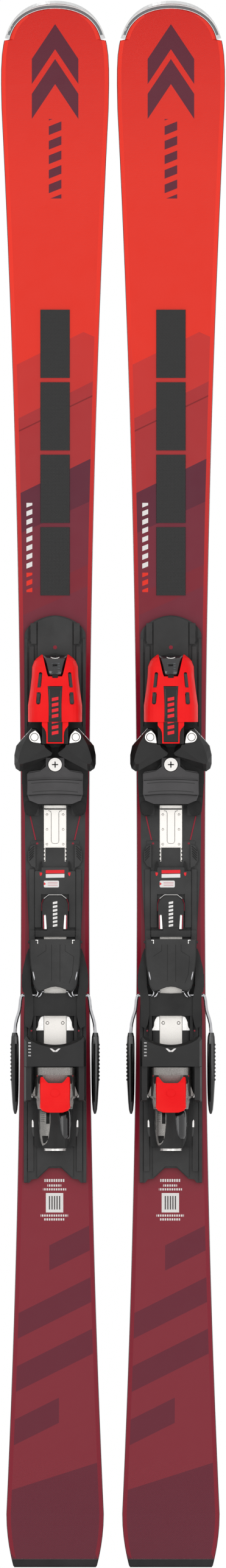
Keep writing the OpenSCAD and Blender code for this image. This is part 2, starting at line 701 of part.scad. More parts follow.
// Paddle's inner edge, outer edge and half thickness along the ski.
paddle = [[551.5, 39, 44.2, 2], [547, 37.8, 45.2, 3.4], [540, 37.4, 45.6, 4], [520, 37.3, 45.6, 4.4],
          [500, 37.4, 45.4, 4.6], [490, 37.6, 44.8, 4.4], [480, 38, 44.2, 4], [472, 38.8, 43.4, 3.2],
          [468.4, 39.8, 42.4, 2], [467.6, 40.4, 41.8, 1]];

module brake_paddles() {
    color([0.1, 0.1, 0.1]) both() difference() {
        loft([for (c = paddle) let (m = (c[1] + c[2]) / 2, w = (c[2] - c[1]) / 2)
            [for (k = [0:11]) [m + w * cos(-30 * k), c[0], brake_z + c[3] * sin(-30 * k)]]]);
        rod_y(41.6, brake_z, wire_r, 519, 560);
    }
    color([0.1, 0.1, 0.1]) both() for (y = [503:4:539])
        translate([44.9, y, brake_z - 2.2]) cylinder(r = 1.3, h = 4.4, $fn = 12);
}

module brake_pedal() {
    edge = [[26.2, 648], [26.2, 632], [25.4, 622], [22.6, 602], [21.3, 598], [19.5, 595.4], [17, 594.3],
            [13.5, 594.8], [9, 596.8], [4.5, 598.4], [0.5, 598.9]];
    color([0.25, 0.25, 0.25]) {
        plate(edge, 42, 46.4);
        plate([for (p = edge) [max(0.5, p[0] - 0.9), p[1] + (p[1] < 600 ? 0.9 : -0.6)]], 46.4, sole_z);
    }
    color("silver") both() {
        slab(18.4, 20.8, 642.9, 646.6, sole_z - 1, sole_z + tiny * 2, 0.3);
        translate([16, pedal_y, pedal_z]) rotate([0, 90, 0]) cylinder(r = pedal_pin_r, h = 12);
    }
}

// ---- the pair ----

module place(side) {
    translate([side * ski_spacing / 2, 0, -rack_height]) rotate([90, 0, 0]) children();
}

for (ski = SKIS) {
    name = ski[0];
    side = ski[1];
    place(side) base_sheet();
    place(side) steel_edges();
    place(side) core();
    place(side) top_sheet();
    place(side) tip_guard();
    place(side) tail_guard();
    place(side) dampers();
    place(side) binding_rails();
    place(side) rail_screws();
    place(side) steel_band();
    place(side) lock_lever();
    place(side) toe_base();
    place(side) toe_cover();
    place(side) toe_pins();
    place(side) toe_spring();
    place(side) wing_left();
    place(side) wing_right();
    place(side) toe_screw();
    place(side) afd_plate();
    place(side) afd_screw();
    place(side) heel_base();
    place(side) heel_spring();
    place(side) heel_pins();
    place(side) heel_housing();
    place(side) heel_jaw();
    place(side) heel_lever();
    place(side) heel_screw();
    place(side) brake_wires();
    place(side) brake_paddles();
    place(side) brake_pedal();
}
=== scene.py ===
"""Looks of a pair of alpine skis with bindings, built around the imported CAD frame."""
import json
import math

import bmesh
import bpy
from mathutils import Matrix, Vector
from mathutils.bvhtree import BVHTree


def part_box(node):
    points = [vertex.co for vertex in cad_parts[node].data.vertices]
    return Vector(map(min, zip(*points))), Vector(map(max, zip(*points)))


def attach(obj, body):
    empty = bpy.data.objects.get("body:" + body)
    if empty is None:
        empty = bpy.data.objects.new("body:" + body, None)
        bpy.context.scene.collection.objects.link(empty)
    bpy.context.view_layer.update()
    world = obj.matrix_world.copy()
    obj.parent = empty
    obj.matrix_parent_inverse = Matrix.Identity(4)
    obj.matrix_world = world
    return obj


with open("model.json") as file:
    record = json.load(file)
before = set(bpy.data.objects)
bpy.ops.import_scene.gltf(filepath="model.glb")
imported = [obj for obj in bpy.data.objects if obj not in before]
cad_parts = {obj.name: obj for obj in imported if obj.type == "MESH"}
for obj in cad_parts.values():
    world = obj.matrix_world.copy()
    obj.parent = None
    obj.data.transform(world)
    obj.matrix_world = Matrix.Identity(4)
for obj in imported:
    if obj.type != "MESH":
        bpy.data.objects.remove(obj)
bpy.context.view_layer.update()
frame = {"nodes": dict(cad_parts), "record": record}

MM = 0.001
SKIS = ("left", "right")


# ---- places, worked out from the frame ----

def centre_x(ski):
    low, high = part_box(ski + "_core")
    return (low[0] + high[0]) / 2


CENTRE = {ski: centre_x(ski) for ski in SKIS}
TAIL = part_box("left_tail_guard")[0][2]
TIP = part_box("left_tip_guard")[1][2]
MIDDLE = (TIP + TAIL) / 2


def place(ski, x, y, z):
    """A point from ski millimetres (x across, y from the tail, z up from the base)."""
    return Vector((CENTRE[ski] + x * MM, -z * MM, TAIL + y * MM))


# ---- camera, floor and light ----

def make_camera():
    """A level camera in front of the skis, framing their whole height."""
    data = bpy.data.cameras.new("camera")
    data.type = "ORTHO"
    margin = 1.001
    distance = 3
    data.ortho_scale = (TIP - TAIL) * margin
    camera = bpy.data.objects.new("camera", data)
    camera.location = (0, -distance, MIDDLE)
    camera.rotation_euler = (math.pi / 2, 0, 0)
    bpy.context.collection.objects.link(camera)
    bpy.context.scene.camera = camera


def make_floor():
    """A pale floor just below the tails."""
    half = 4
    drop = 2 * MM
    mesh = bpy.data.meshes.new("floor")
    corners = [(-half, -half), (half, -half), (half, half), (-half, half)]
    mesh.from_pydata([(x, y, TAIL - drop) for x, y in corners], [], [(0, 1, 2, 3)])
    floor = bpy.data.objects.new("floor", mesh)
    bpy.context.collection.objects.link(floor)
    floor.data.materials.append(plain("floor", (0.9, 0.9, 0.9), 0.9))


def area_light(name, place_at, size, power):
    """A rectangular lamp that faces the middle of the skis."""
    data = bpy.data.lights.new(name, "AREA")
    data.shape = "RECTANGLE"
    data.size, data.size_y = size
    data.energy = power
    light = bpy.data.objects.new(name, data)
    light.location = place_at
    light.rotation_mode = "QUATERNION"
    aim = Vector((0, 0, MIDDLE)) - Vector(place_at)
    light.rotation_quaternion = aim.to_track_quat("-Z", "Y")
    bpy.context.collection.objects.link(light)


def make_lights():
    """Two lamps in front, one behind and white surroundings."""
    area_light("key", (-1.0, -2.3, MIDDLE + 0.7), (0.5, 2.4), 11)
    area_light("fill", (1.0, -2.3, MIDDLE + 0.1), (0.9, 2.4), 11)
    area_light("back", (0, 2.6, MIDDLE + 1.0), (1.6, 1.6), 20)
    world = bpy.data.worlds.new("world")
    world.use_nodes = True
    background = world.node_tree.nodes["Background"]
    background.inputs["Color"].default_value = (1, 1, 1, 1)
    background.inputs["Strength"].default_value = 1.0
    bpy.context.scene.world = world
    bpy.context.scene.view_settings.view_transform = "Standard"


# ---- materials ----

LIGHT = 1.35        # brightness of a white card facing the camera
SHEEN = 0.026       # light that the white surroundings add to a glossy surface
DARKEST = 0.002


def linear(c):
    return ((c / 255 + 0.055) / 1.055) ** 2.4


def seen(r, g, b):
    """Surface colour that shows as these 8-bit display values under the lights."""
    return tuple(max(DARKEST, (linear(c) - SHEEN) / LIGHT) for c in (r, g, b))


def mirrored(r, g, b):
    """Metal colour that shows as these 8-bit display values among white surroundings."""
    return tuple(min(1.0, linear(c)) for c in (r, g, b))


class Nodes:
    """A small helper that adds shader nodes and returns their outputs."""

    def __init__(self, material):
        self.tree = material.node_tree
        self.shader = self.tree.nodes["Principled BSDF"]

    def add(self, kind, **values):
        node = self.tree.nodes.new(kind)
        for key, value in values.items():
            setattr(node, key, value)
        return node

    def feed(self, node, key, value):
        socket = node.inputs[key]
        if hasattr(value, "is_output"):
            self.tree.links.new(value, socket)
        elif isinstance(value, tuple) and socket.type == "RGBA":
            socket.default_value = (*value, 1)[:4]
        else:
            socket.default_value = value

    def math(self, operation, a, b=0.0):
        node = self.add("ShaderNodeMath", operation=operation)
        self.feed(node, 0, a)
        self.feed(node, 1, b)
        return node.outputs[0]

    def mix(self, factor, a, b):
        node = self.add("ShaderNodeMix", data_type="RGBA")
        colour_a, colour_b, colour_out = 6, 7, 2
        self.feed(node, 0, factor)
        self.feed(node, colour_a, a)
        self.feed(node, colour_b, b)
        return node.outputs[colour_out]

    def place(self):
        """Object coordinates, split into x, y and z."""
        coords = self.add("ShaderNodeTexCoord")
        split = self.add("ShaderNodeSeparateXYZ")
        self.tree.links.new(coords.outputs["Object"], split.inputs[0])
        return coords.outputs["Object"], split.outputs

    def noise(self, scale, detail=3.0, stretch=None):
        coords, _ = self.place()
        if stretch:
            mapping = self.add("ShaderNodeMapping")
            self.tree.links.new(coords, mapping.inputs["Vector"])
            mapping.inputs["Scale"].default_value = stretch
            coords = mapping.outputs["Vector"]
        node = self.add("ShaderNodeTexNoise")
        node.inputs["Scale"].default_value = scale
        node.inputs["Detail"].default_value = detail
        self.tree.links.new(coords, node.inputs["Vector"])
        return node.outputs["Fac"]

    def ramp(self, value, low, high, a, b):
        node = self.add("ShaderNodeMapRange")
        ends = {"Value": value, "From Min": low, "From Max": high, "To Min": a, "To Max": b}
        for key, item in ends.items():
            self.feed(node, key, item)
        return node.outputs["Result"]

    def bump(self, height, strength, distance):
        node = self.add("ShaderNodeBump")
        node.inputs["Strength"].default_value = strength
        node.inputs["Distance"].default_value = distance
        self.tree.links.new(height, node.inputs["Height"])
        self.tree.links.new(node.outputs["Normal"], self.shader.inputs["Normal"])


def plain(name, colour, roughness, metallic=0.0, coat=0.0):
    material = bpy.data.materials.new(name)
    material.use_nodes = True
    shader = material.node_tree.nodes["Principled BSDF"]
    shader.inputs["Base Color"].default_value = (*colour, 1)
    shader.inputs["Roughness"].default_value = roughness
    shader.inputs["Metallic"].default_value = metallic
    shader.inputs["Coat Weight"].default_value = coat
    shader.inputs["Specular IOR Level"].default_value = 0.3
    return material


def moulded(name, colour, worn, roughness, grain=1400, bump=0.25, coat=0.0):
    """Moulded plastic: fine grain, slight colour drift and uneven gloss."""
    material = plain(name, colour, roughness, coat=coat)
    nodes = Nodes(material)
    drift = nodes.noise(28, 4)
    nodes.feed(nodes.shader, "Base Color", nodes.mix(nodes.ramp(drift, 0.35, 0.65, 0, 1), colour, worn))
    gloss = nodes.ramp(nodes.noise(90, 3), 0.3, 0.7, roughness - 0.06, roughness + 0.08)
    nodes.feed(nodes.shader, "Roughness", gloss)
    nodes.bump(nodes.noise(grain, 2), bump, 0.0002)
    return material


def metal(name, colour, worn, roughness, stretch=(1, 1, 1), grain=900, bump=0.2):
    """Metal with brushed or blasted grain, depending on the stretch of its noise."""
    material = plain(name, colour, roughness, metallic=1.0)
    nodes = Nodes(material)
    streaks = nodes.noise(grain, 3, stretch)
    nodes.feed(nodes.shader, "Base Color", nodes.mix(nodes.ramp(streaks, 0.3, 0.7, 0, 1), colour, worn))
    nodes.feed(nodes.shader, "Roughness", nodes.ramp(streaks, 0.3, 0.7, roughness - 0.08, roughness + 0.1))
    nodes.bump(streaks, bump, 0.0001)
    return material


# ---- the printed top sheet ----

SHEET = {
    "tip": seen(222, 54, 42),
    "bright": seen(236, 60, 46),
    "second": seen(206, 60, 56),
    "third": seen(177, 58, 60),
    "plum": seen(103, 50, 63),
    "maroon": seen(124, 53, 65),
    "lower": seen(140, 55, 65),
    "tail": seen(112, 51, 63),
    "bevel": seen(142, 42, 60),
    "bevel_front": seen(252, 66, 52),
    "white": seen(235, 232, 230),
}


class Print(Nodes):
    """Masks in ski millimetres for what is printed on the top sheet."""

    def __init__(self, material):
        super().__init__(material)
        _, xyz = self.place()
        offset = self.math("MULTIPLY", self.math("SIGN", xyz[0]), CENTRE["right"])
        self.x = self.math("MULTIPLY", self.math("SUBTRACT", xyz[0], offset), 1 / MM)
        self.y = self.math("MULTIPLY", self.math("SUBTRACT", xyz[2], TAIL), 1 / MM)

    def line(self, middle, slope):
        """Height of a slanted line at this x."""
        return self.math("ADD", self.math("MULTIPLY", self.x, slope), middle)

    def above(self, line):
        return self.math("GREATER_THAN", self.y, line)

    def between(self, value, low, high):
        over = self.math("GREATER_THAN", value, low)
        return self.math("MULTIPLY", over, self.math("LESS_THAN", value, high))

    def bar(self, middle, slope, thick, x_low, x_high):
        """A slanted bar with upright ends."""
        from_line = self.math("SUBTRACT", self.y, self.line(middle, slope))
        inside = self.between(from_line, -thick / 2, thick / 2)
        return self.math("MULTIPLY", inside, self.between(self.x, x_low, x_high))

    def chevron(self, peak, slope, thick, half):
        """A bent bar, highest on the centre line."""
        fold = self.math("MULTIPLY", self.math("ABSOLUTE", self.x), slope)
        from_line = self.math("SUBTRACT", self.math("ADD", self.y, fold), peak)
        inside = self.between(from_line, -thick, 0)
        return self.math("MULTIPLY", inside, self.between(self.x, -half, half))

    def dashes(self, low, high, pitch, length, x_low, x_high):
        """A column of slanted dashes."""
        shift = 2000  # keeps the counted length above zero
        step = self.math("MODULO", self.math("ADD", self.line(shift, -0.4), self.y), pitch)
        inside = self.math("MULTIPLY", self.math("LESS_THAN", step, length), self.between(self.y, low, high))
        return self.math("MULTIPLY", inside, self.between(self.x, x_low, x_high))

    def row(self, y, tall, x_low, x_high, pitch, length):
        """A row of short upright dashes."""
        shift = 100  # keeps the counted width above zero
        step = self.math("MODULO", self.math("ADD", self.x, shift), pitch)
        inside = self.math("MULTIPLY", self.math("LESS_THAN", step, length),
                           self.between(self.y, y - tall / 2, y + tall / 2))
        return self.math("MULTIPLY", inside, self.between(self.x, x_low, x_high))

    def block(self, x_low, x_high, y_low, y_high):
        return self.math("MULTIPLY", self.between(self.x, x_low, x_high), self.between(self.y, y_low, y_high))


BESIDE = 60         # millimetres from the centre line, past the edge of the ski


def colour_fields(p):
    """Slanted fields of colour, from the dark tail to the bright front."""
    colour = p.mix(p.ramp(p.y, 1000, 420, 0, 1), SHEET["maroon"], SHEET["lower"])
    bars = ((322, -6, BESIDE), (268, -BESIDE, BESIDE), (214, -BESIDE, BESIDE), (160, -BESIDE, 4))
    for middle, x_low, x_high in bars:
        colour = p.mix(p.bar(middle, 0.5, 26, x_low, x_high), colour, SHEET["tail"])
    tail_edge = p.math("MAXIMUM", p.line(94, 0.32), p.line(66, -0.3))
    colour = p.mix(p.math("LESS_THAN", p.y, tail_edge), colour, SHEET["tail"])
    colour = p.mix(p.bar(1008, 0.45, 22, -BESIDE, BESIDE), colour, seen(132, 50, 60))
    steps = ((1083, 0.46, "plum"), (1125.7, 0.49, "third"), (1204, 0.5, "second"))
    for middle, slope, name in steps:
        colour = p.mix(p.above(p.line(middle, slope)), colour, SHEET[name])
    colour = p.mix(p.bar(1190, 0.48, 1.6, -BESIDE, BESIDE), colour, seen(140, 44, 50))
    bright = p.mix(p.ramp(p.y, 1440, 1600, 0, 1), SHEET["bright"], SHEET["tip"])
    bright_edge = p.math("MINIMUM", p.line(1260, 0.49), p.line(1287.2, -0.44))
    return p.mix(p.above(bright_edge), colour, bright)


def marked(p, colour):
    """Plain chevrons, columns of dashes and a blank label, printed over a colour."""
    for peak in (1592, 1556):
        colour = p.mix(p.chevron(peak, 1.5, 26, 24), colour, SHEET["plum"])
    colour = p.mix(p.dashes(1412, 1494, 15, 9, -6.5, 6.5), colour, SHEET["plum"])
    colour = p.mix(p.dashes(1030, 1098, 9, 5, -29.5, -23.5), colour, SHEET["white"])
    colour = p.mix(p.dashes(1006, 1026, 9, 5, -29.5, -23.5), colour, SHEET["bright"])
    label_rows = ((399, 3, -11, 10), (393.8, 2.2, -8, 6.4), (389.8, 2.2, -12.4, 11.4),
                  (362.8, 2.2, -15, 13.4), (358.8, 2.2, -11.5, 9.4))
    for y, tall, x_low, x_high in label_rows:
        colour = p.mix(p.row(y, tall, x_low, x_high, 2.4, 1.5), colour, SHEET["white"])
    colour = p.mix(p.block(-9.5, 8.4, 366, 386), colour, SHEET["white"])
    return p.mix(p.row(376, 14, -7.2, 6.2, 2.6, 1.3), colour, seen(90, 86, 86))


def bevelled(p, colour):
    """The bevelled sides' own colour, wherever the surface leans sideways."""
    coords = p.add("ShaderNodeTexCoord")
    normal = p.add("ShaderNodeSeparateXYZ")
    p.tree.links.new(coords.outputs["Normal"], normal.inputs[0])
    side = p.math("GREATER_THAN", p.math("ABSOLUTE", normal.outputs[0]), 0.35)
    bevel = p.mix(p.ramp(p.y, 900, 1300, 0, 1), SHEET["bevel"], SHEET["bevel_front"])
    return p.mix(side, colour, bevel)


def top_sheet_material():
    """Printed cap of the ski, with a woven relief near both ends."""
    material = plain("top_sheet", SHEET["bright"], 0.32, coat=0.05)
    p = Print(material)
    p.feed(p.shader, "Base Color", bevelled(p, marked(p, colour_fields(p))))
    lattice = p.math("MULTIPLY", p.math("SINE", p.math("MULTIPLY", p.x, 2.6)),
                     p.math("SINE", p.math("MULTIPLY", p.y, 3.6)))
    woven = p.math("ADD", p.ramp(p.y, 1300, 1420, 0, 1), p.ramp(p.y, 120, 60, 0, 1))
    p.bump(p.math("MULTIPLY", lattice, woven), 0.25, 0.0002)
    p.feed(p.shader, "Roughness", p.ramp(p.noise(60, 3), 0.3, 0.7, 0.28, 0.38))
    return material


# ---- the other finishes ----

def marking(name, colour, roughness=0.4):
    """Flat paint or print, and the painted shade and highlight among the marks, with the slightest
    unevenness.
    """
    return moulded(name, colour, tuple(0.93 * c for c in colour), roughness, 600, 0.04)


def damper_material():
    """Black rubber plate covered in small dots that stand up from it; their tops are painted lighter, a
    painted highlight.
    """
    material = plain("damper_rubber", seen(58, 58, 58), 0.55)
    p = Print(material)
    dots = p.math("MULTIPLY", p.math("SINE", p.math("MULTIPLY", p.x, 4.2)),
                  p.math("SINE", p.math("MULTIPLY", p.y, 4.2)))
    raised_and_lit = p.ramp(dots, 0.05, 0.5, 0, 1)
    # The lighter dot tops are a painted highlight; the bump below gives the dots their relief.
    p.feed(p.shader, "Base Color", p.mix(raised_and_lit, seen(54, 54, 54), seen(84, 84, 84)))
    p.bump(raised_and_lit, 0.8, 0.0004)
    return material


def grained_wood():
    """Dark laminated wood with its grain along the ski."""
    material = plain("core_wood", seen(60, 44, 38), 0.5)
    nodes = Nodes(material)
    grain = nodes.noise(60, 4, (1, 1, 0.05))
    nodes.feed(nodes.shader, "Base Color", nodes.mix(grain, seen(40, 30, 28), seen(70, 52, 44)))
    return material


def smoked():
    """Smoky see-through plastic of the release windows."""
    material = plain("smoked_plastic", seen(62, 62, 64), 0.12, coat=0.6)
    shader = material.node_tree.nodes["Principled BSDF"]
    shader.inputs["Transmission Weight"].default_value = 0.55
    shader.inputs["IOR"].default_value = 1.5
    nodes = Nodes(material)
    nodes.feed(nodes.shader, "Roughness", nodes.ramp(nodes.noise(120, 2), 0.3, 0.7, 0.08, 0.2))
    return material


def satin_red():
    """Moulded red of the cover and the lever, with hardly any mirror on its steep sides."""
    material = moulded("red_plastic", seen(255, 60, 60), seen(250, 54, 56), 0.45, 1200, 0.08)
    material.node_tree.nodes["Principled BSDF"].inputs["Specular IOR Level"].default_value = 0.06
    return material


# Each row gives the colour, the worn colour, the roughness and then grain, bump and coat.
MOULDED = {
    "base_black": ((30, 30, 31), (44, 44, 46), 0.35, 300, 0.1),
    "tail_plastic": ((44, 42, 43), (56, 54, 55), 0.5),
    "rail_plastic": ((65, 65, 65), (73, 73, 73), 0.55),
    "lever_plastic": ((56, 56, 56), (66, 66, 66), 0.5),
    "chassis_plastic": ((48, 48, 48), (58, 58, 58), 0.45),
    "wing_plastic": ((42, 42, 42), (52, 52, 52), 0.35, 1400, 0.25, 0.2),
    "afd_plastic": ((78, 77, 78), (88, 87, 88), 0.5),
    "pad_plastic": ((62, 62, 62), (72, 72, 72), 0.5),
    "gloss_black": ((40, 40, 41), (46, 46, 47), 0.2, 900, 0.03, 0.3),
    "paddle_plastic": ((28, 28, 28), (38, 38, 38), 0.2, 900, 0.05, 0.5),
}

# Each row gives the colour, the worn colour, the roughness and then stretch, grain and bump.
EVEN = (1, 1, 1)
METAL = {
    "edge_steel": ((190, 190, 192), (150, 150, 152), 0.3, (1, 1, 0.02)),
    "tip_metal": ((214, 214, 214), (200, 200, 200), 0.32, EVEN, 500, 0.1),
    "screw_steel": ((236, 233, 230), (210, 208, 205), 0.35, EVEN, 1600),
    "band_steel": ((240, 237, 232), (222, 218, 213), 0.38, EVEN, 1800),
    "pin_steel": ((244, 242, 239), (228, 225, 222), 0.4, EVEN, 1800),
    "spring_steel": ((150, 150, 150), (120, 120, 120), 0.35),
    "cast_metal": ((150, 148, 145), (118, 116, 113), 0.45, EVEN, 1500, 0.5),
    "wire_chrome": ((196, 196, 198), (176, 176, 180), 0.2, EVEN, 200, 0.05),
    "white_metal": ((250, 248, 246), (236, 234, 231), 0.35),
}

# Each row gives the colour, and the roughness where it isn't the usual one.
MARKS = {
    "crimson": ((152, 40, 62),),
    "bright_mark": ((244, 52, 60),),
    "pale_red": ((226, 160, 168),),
    # white paint and print, and also the painted highlight along the tip guard's ridge
    "white_print_and_highlight": ((246, 244, 242),),
    "pale_grey": ((184, 184, 184),),
    "scale_grey": ((112, 118, 122),),
    "tick_grey": ((112, 110, 108),),
    # painted shade on the tip guard's inner slope
    "guard_grey": ((128, 132, 134),),
    "pad_dark": ((66, 66, 66), 0.5),
    "pad_light": ((92, 92, 92), 0.5),
    # dark gaps and seams, and also painted shade in recesses, pockets and an opening
    "gap_black": ((30, 28, 30), 0.6),
}


def make_finishes():
    """Every finish, by the name of its slot."""
    made = {
        "core_wood": grained_wood(),
        "top_sheet": top_sheet_material(),
        "damper_rubber": damper_material(),
        "red_plastic": satin_red(),
        "smoked_plastic": smoked(),
    }
    for name, (colour, worn, *rest) in MOULDED.items():
        made[name] = moulded(name, seen(*colour), seen(*worn), *rest)
    for name, (colour, worn, *rest) in METAL.items():
        made[name] = metal(name, mirrored(*colour), mirrored(*worn), *rest)
    for name, (colour, *rest) in MARKS.items():
        made[name] = marking(name, seen(*colour), *rest)
    return made


def dress_frame():
    """Gives every CAD node the finish of its slot."""
    made = make_finishes()
    slots = {part["node"]: part["material_slot"] for part in frame["record"]["subparts"]}
    for name, node in frame["nodes"].items():
        node.data.materials.clear()
        node.data.materials.append(made[slots[name]])
    return made


# ---- small pieces that ride on the bodies ----

def closed_mesh(name, verts, faces):
    """A mesh with its faces turned outwards."""
    mesh = bpy.data.meshes.new(name)
    mesh.from_pydata([tuple(v) for v in verts], [], faces)
    shape = bmesh.new()
    shape.from_mesh(mesh)
    bmesh.ops.recalc_face_normals(shape, faces=shape.faces)
    shape.to_mesh(mesh)
    shape.free()
    return mesh


class Bench:
    """Adds small pieces, given in ski millimetres, to the bodies of one ski."""

    def __init__(self, ski, finishes):
        self.ski = ski
        self.finishes = finishes
        self.surfaces = {}

    def add(self, name, body, finish, verts, faces, smooth=False):
        mesh = closed_mesh(name, [place(self.ski, *v) for v in verts], faces)
        mesh.materials.append(self.finishes[finish])
        if smooth:
            mesh.polygons.foreach_set("use_smooth", [True] * len(mesh.polygons))
        piece = bpy.data.objects.new(f"{self.ski}_{name}", mesh)
        bpy.context.collection.objects.link(piece)
        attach(piece, f"{self.ski}_{body}")
        return piece

    def height(self, node, x, y):
        """Height of a CAD node's front surface at x, y, or None beside it."""
        if node not in self.surfaces:
            self.surfaces[node] = surface_tree(f"{self.ski}_{node}")
        in_front = 200
        start = place(self.ski, x, y, in_front)
        hit, _, _, _ = self.surfaces[node].ray_cast(start, Vector((0, 1, 0)))
        return -hit.y / MM if hit else None

    def flat(self, name, body, finish, outline, low, high):
        """A flat piece with this outline between two heights."""
        n = len(outline)
        verts = [(x, y, low) for x, y in outline] + [(x, y, high) for x, y in outline]
        sides = [(i, (i + 1) % n, n + (i + 1) % n, n + i) for i in range(n)]
        return self.add(name, body, finish, verts, [tuple(range(n)), tuple(range(n, 2 * n)), *sides])

    def inked(self, name, body, finish, outline, node, lift=0.12):
        """A flat mark on the highest part of a CAD node inside this outline."""
        n = len(outline)
        middle = (sum(x for x, _ in outline) / n, sum(y for _, y in outline) / n)
        heights = [self.height(node, x, y) for x, y in [*outline, middle]]
        top = max((h for h in heights if h is not None), default=None)
        if top is None:
            raise ValueError(f"{name} lies beside {node}")
        sunk = 0.5
        return self.flat(name, body, finish, outline, top - sunk, top + lift)

    def drawn(self, name, body, finish, points, half, node, lift=0.12):
        """A thin line on a CAD node."""
        return self.inked(name, body, finish, strip(points, half), node, lift)

    def line(self, name, body, finish, points, half, low, high):
        """A thin strip along a line of points."""
        return self.flat(name, body, finish, strip(points, half), low, high)

    def both(self, make, name, body, finish, points, *sizes):
        """The same piece on the right and, mirrored, on the left."""
        for side, sign in (("right", 1), ("left", -1)):
            make(f"{name}_{side}", body, finish, [(sign * x, y) for x, y in points], *sizes)

    def skin(self, name, body, finish, top, across, thick):
        """A closed skin under rows of points, with across + 1 points in each row."""
        row, count = across + 1, len(top)
        rows = count // row
        verts = top + [(x, y, z - thick) for x, y, z in top]
        faces = []
        for r in range(rows - 1):
            for c in range(across):
                quad = (r * row + c, r * row + c + 1, (r + 1) * row + c + 1, (r + 1) * row + c)
                faces += [quad, tuple(count + i for i in reversed(quad))]
        rim = [*range(row), *((r + 1) * row - 1 for r in range(1, rows)),
               *range(count - 2, count - row - 1, -1), *(r * row for r in range(rows - 2, 0, -1))]
        faces += [(a, b, count + b, count + a) for a, b in zip(rim, rim[1:] + rim[:1])]
        return self.add(name, body, finish, verts, faces, smooth=True)

    def draped(self, name, body, finish, rows, node, lift=0.15, thick=0.4, across=8):
        """A skin over a CAD node; each row gives y and the x where it starts and ends."""
        beside = 1.5
        top = []
        for y, x0, x1 in rows:
            xs = [x0 + (x1 - x0) * k / across for k in range(across + 1)]
            heights = [self.height(node, x, y) for x in xs]
            near = [self.height(node, x0 - beside, y), self.height(node, x1 + beside, y)]
            known = [h for h in heights + near if h is not None]
            top += [(x, y, (known[0] if h is None else h) + lift) for x, h in zip(xs, heights)]
        return self.skin(name, body, finish, top, across, thick)

    def wire(self, name, body, finish, points, radius, sides=8):
        """A round wire through points in space."""
        points = [Vector(p) for p in points]
        verts = []
        for i, here in enumerate(points):
            way = (points[min(i + 1, len(points) - 1)] - points[max(i - 1, 0)]).normalized()
            u = way.cross(Vector((0, 0, 1))).normalized()
            v = way.cross(u)
            for k in range(sides):
                turn = 2 * math.pi * k / sides
                verts.append(here + radius * (math.cos(turn) * u + math.sin(turn) * v))
        return self.add(name, body, finish, verts, ring_faces(len(points), sides), smooth=True)


def ring_faces(rings, sides):
    """Faces that join rings of points, with a cap at each end."""
    faces = []
    for start in range(0, (rings - 1) * sides, sides):
        for k in range(sides):
            a, b = start + k, start + (k + 1) % sides
            faces.append((a, b, b + sides, a + sides))
    last = (rings - 1) * sides
    return [*faces, tuple(range(sides)), tuple(range(last, last + sides))]


def surface_tree(node):
    """Search tree over a CAD node's surface, in the frame's coordinates."""
    source = frame["nodes"][node]
    shape = bmesh.new()
    shape.from_mesh(source.data)
    shape.transform(source.matrix_world)
    tree = BVHTree.FromBMesh(shape)
    shape.free()
    return tree


def strip(points, half):
    """Outline of a strip of even width along a line of points."""
    left, right = [], []
    for i, (x, y) in enumerate(points):
        ahead, behind = points[min(i + 1, len(points) - 1)], points[max(i - 1, 0)]
        way = Vector((ahead[0] - behind[0], ahead[1] - behind[1])).normalized() * half
        left.append((x - way.y, y + way.x))
        right.append((x + way.y, y - way.x))
    return left + right[::-1]


def round_outline(x, y, radius, steps=20):
    """Points on a circle."""
    turns = [2 * math.pi * k / steps for k in range(steps)]
    return [(x + radius * math.cos(t), y + radius * math.sin(t)) for t in turns]


def rounded_box(x0, x1, y0, y1, radius):
    """Outline of a rectangle with round corners."""
    corners = ((x1 - radius, y1 - radius, 0), (x0 + radius, y1 - radius, 90),
               (x0 + radius, y0 + radius, 180), (x1 - radius, y0 + radius, 270))
    points = []
    for x, y, start in corners:
        for turn in (0, 30, 60, 90):
            angle = math.radians(start + turn)
            points.append((x + radius * math.cos(angle), y + radius * math.sin(angle)))
    return points


def slanted(x0, x1, y0, y1, lean):
    """A dash whose ends lean by this much."""
    return [(x0, y0), (x1, y0 + lean), (x1, y1 + lean), (x0, y1)]


# ---- the rails and the lock lever ----

def rail_details(b):
    """Seams, flutes, ribs and small marks of the rail plates, and painted shade in their recesses."""
    rail = "binding_rails"
    b.inked("rail_mark", "ski", "crimson", round_outline(0, 949, 2), rail)
    b.both(b.line, "slot_line", "ski", "crimson", [(25.7, 774.8), (20, 750.2)], 0.62, 24, 26.4)
    slot_end = [(17.2, 745.8), (19.6, 745.8), (19.2, 747.6), (17.6, 747.6)]
    b.both(b.inked, "slot_end", "ski", "crimson", slot_end, rail)
    for k in range(5):
        drop = 2.5 * k
        rib = [(21.4 + 0.2 * k, 744 - drop), (27 - 0.1 * k, 739 - drop)]
        b.both(b.drawn, f"grip_rib_{k}", "ski", "gap_black", rib, 0.55, rail)
    # A black patch over each recess: painted shade.
    recess = [(13.4, 727.6), (14.4, 729), (15.8, 726), (16.6, 718), (14, 718), (13.8, 722)]
    b.both(b.inked, "dark_recess", "ski", "gap_black", recess, rail, 0.06)
    tip = [(13.4, 716.6), (16, 716.8), (15.6, 713.8), (14.6, 713), (13.4, 715)]
    b.both(b.inked, "red_tip", "ski", "bright_mark", tip, rail)
    b.both(b.drawn, "side_groove", "ski", "gap_black", [(21.1, 720), (21.1, 658)], 0.45, rail, 0.5)
    b.both(b.drawn, "front_seam", "ski", "gap_black", [(18.6, 975), (18.6, 936)], 0.25, rail)
    b.both(b.drawn, "front_step", "ski", "gap_black", [(18.6, 952.4), (24.4, 952.4)], 0.25, rail)
    flute = [(25, 953), (26.4, 956.5), (26.7, 964), (26, 971)]
    b.both(b.drawn, "front_flute", "ski", "gap_black", flute, 0.7, rail)
    channels = [(21.6, 951), (21.6, 936)], [(28.4, 944), (28.4, 880)]
    for k, points in enumerate(channels):
        b.both(b.drawn, f"channel_{k}", "ski", "gap_black", points, 0.4, rail)


